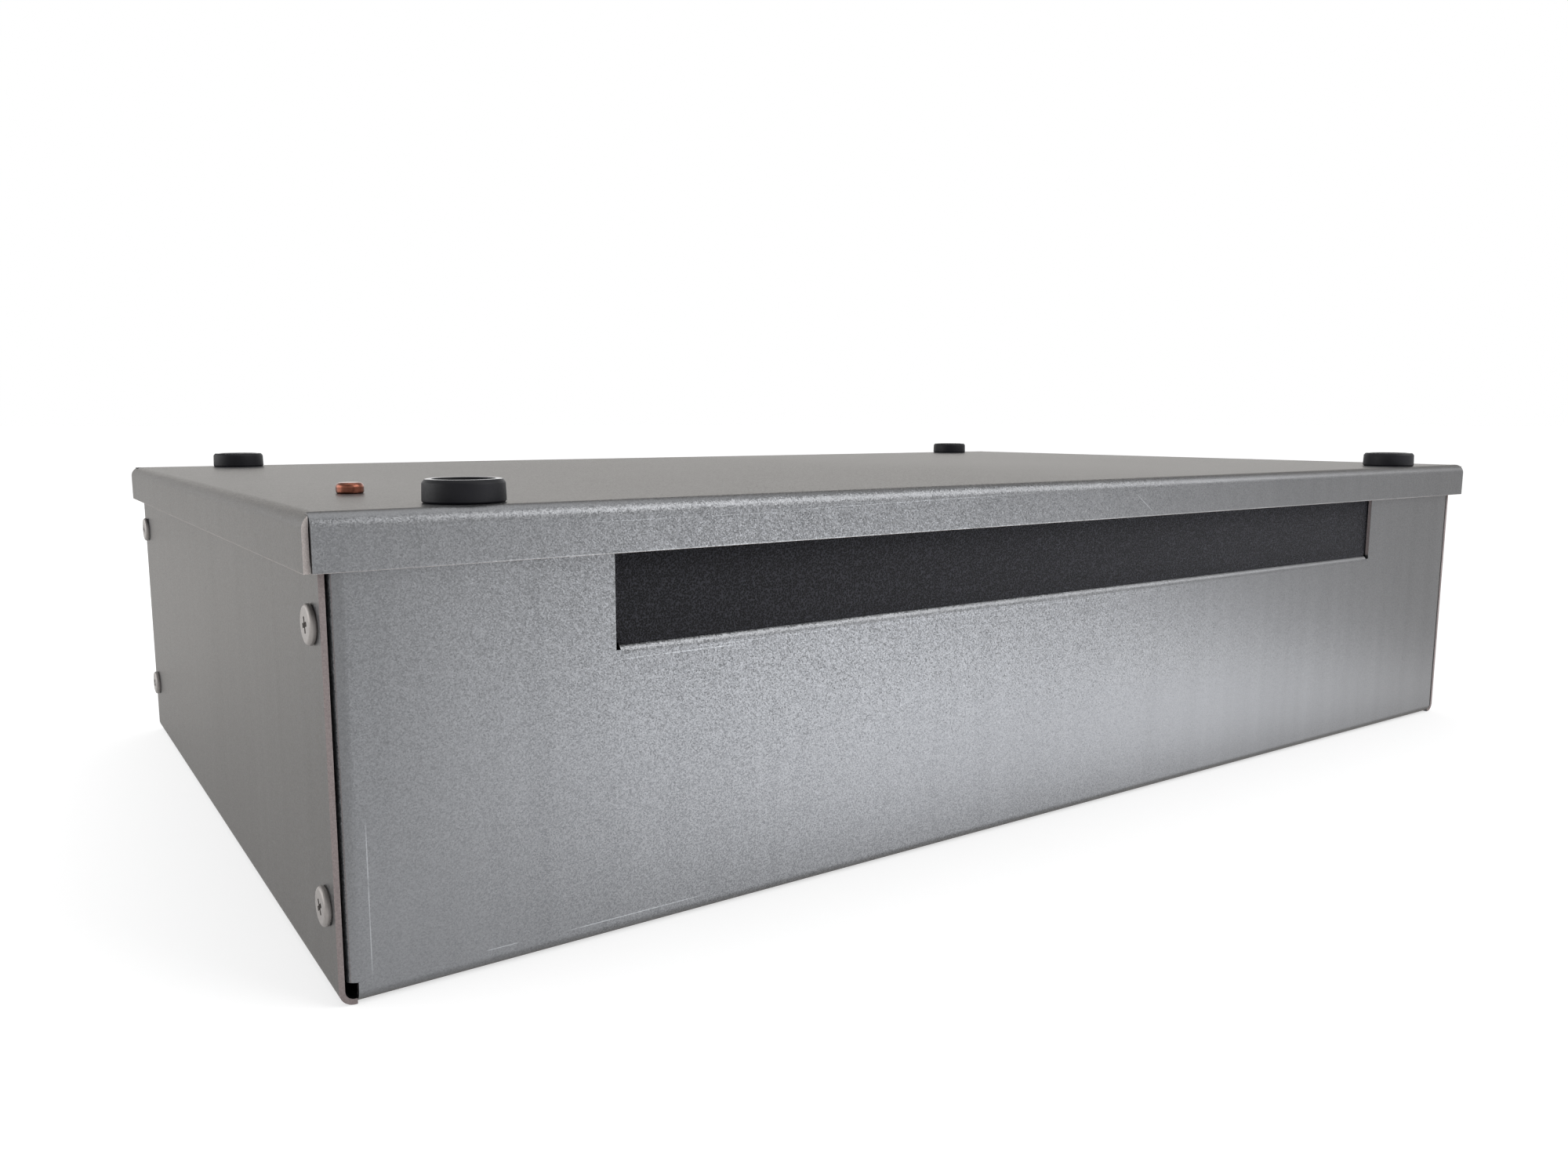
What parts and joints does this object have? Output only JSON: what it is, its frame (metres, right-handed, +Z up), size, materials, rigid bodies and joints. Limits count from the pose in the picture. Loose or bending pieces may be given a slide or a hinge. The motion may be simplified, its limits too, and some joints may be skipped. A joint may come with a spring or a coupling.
{
  "type": "electrical distribution box",
  "caption": "Shallow box of folded zinc-coated steel with a foam-filled cable slot in its front wall, a lift-off lid with rubber feet, and a terminal rail inside.",
  "frame": {"origin": "on the ground under the middle of the tray", "axes": "+X along the width, +Y from the slotted front wall to the rear wall, +Z up through the lid"},
  "size_m": [0.4408, 0.2688, 0.1051],
  "materials": {
    "zinc_sheet": "grey zinc-coated sheet with a fine grain, raw at the cut edges",
    "black_foam": "soft open-cell foam, dull black",
    "black_rubber": "moulded rubber, satin",
    "bright_steel": "bright zinc plating",
    "copper": "bare copper, slightly dulled",
    "rail_steel": "zinc-plated strip",
    "stop_plastic": "moulded dark grey plastic",
    "grey_plastic": "moulded grey plastic",
    "blue_plastic": "moulded blue plastic",
    "green_plastic": "moulded green plastic with a yellow band",
    "brass": "plain brass"
  },
  "bodies": {
    "case": {"base_tray": "zinc_sheet", "foam_strip": "black_foam", "side_screws_left": "bright_steel", "side_screws_right": "bright_steel", "rail_studs": "bright_steel", "rail_nuts": "bright_steel", "tie_bar": "bright_steel", "bracket_studs": "bright_steel", "bracket_nuts": "bright_steel", "bar_clips": "bright_steel", "clamp_cages": "bright_steel", "stop_screws": "bright_steel", "terminal_rail": "rail_steel", "tie_bracket_left": "zinc_sheet", "tie_bracket_right": "zinc_sheet", "end_stop_left": "stop_plastic", "end_stop_right": "stop_plastic", "line_terminal_1": "grey_plastic", "line_terminal_2": "grey_plastic", "line_terminal_3": "grey_plastic", "line_terminal_4": "grey_plastic", "line_terminal_5": "grey_plastic", "line_terminal_6": "grey_plastic", "neutral_terminal_1": "blue_plastic", "earth_terminal_1": "green_plastic", "neutral_terminal_2": "blue_plastic", "earth_terminal_2": "green_plastic", "neutral_terminal_3": "blue_plastic", "earth_terminal_3": "green_plastic", "neutral_terminal_4": "blue_plastic", "earth_terminal_4": "green_plastic", "end_plate": "grey_plastic", "current_bars": "brass", "clamp_screws": "brass", "line_bridge": "brass", "neutral_bridge": "brass", "bridge_screws": "brass", "earth_stud": "brass", "earth_washers": "brass", "earth_nuts": "brass"},
    "lid": {"lid": "zinc_sheet", "foot_front_left": "black_rubber", "foot_rear_left": "black_rubber", "foot_front_right": "black_rubber", "foot_rear_right": "black_rubber", "foot_screws": "bright_steel", "foot_nuts": "bright_steel", "copper_stud": "copper", "copper_stud_washer": "bright_steel", "copper_stud_nut": "bright_steel"}
  },
  "joints": [
    {"name": "lid_lift", "type": "slide", "parent": "case", "child": "lid", "axis": [0, 0, 1], "range_m": [0, 0.12]}
  ]
}
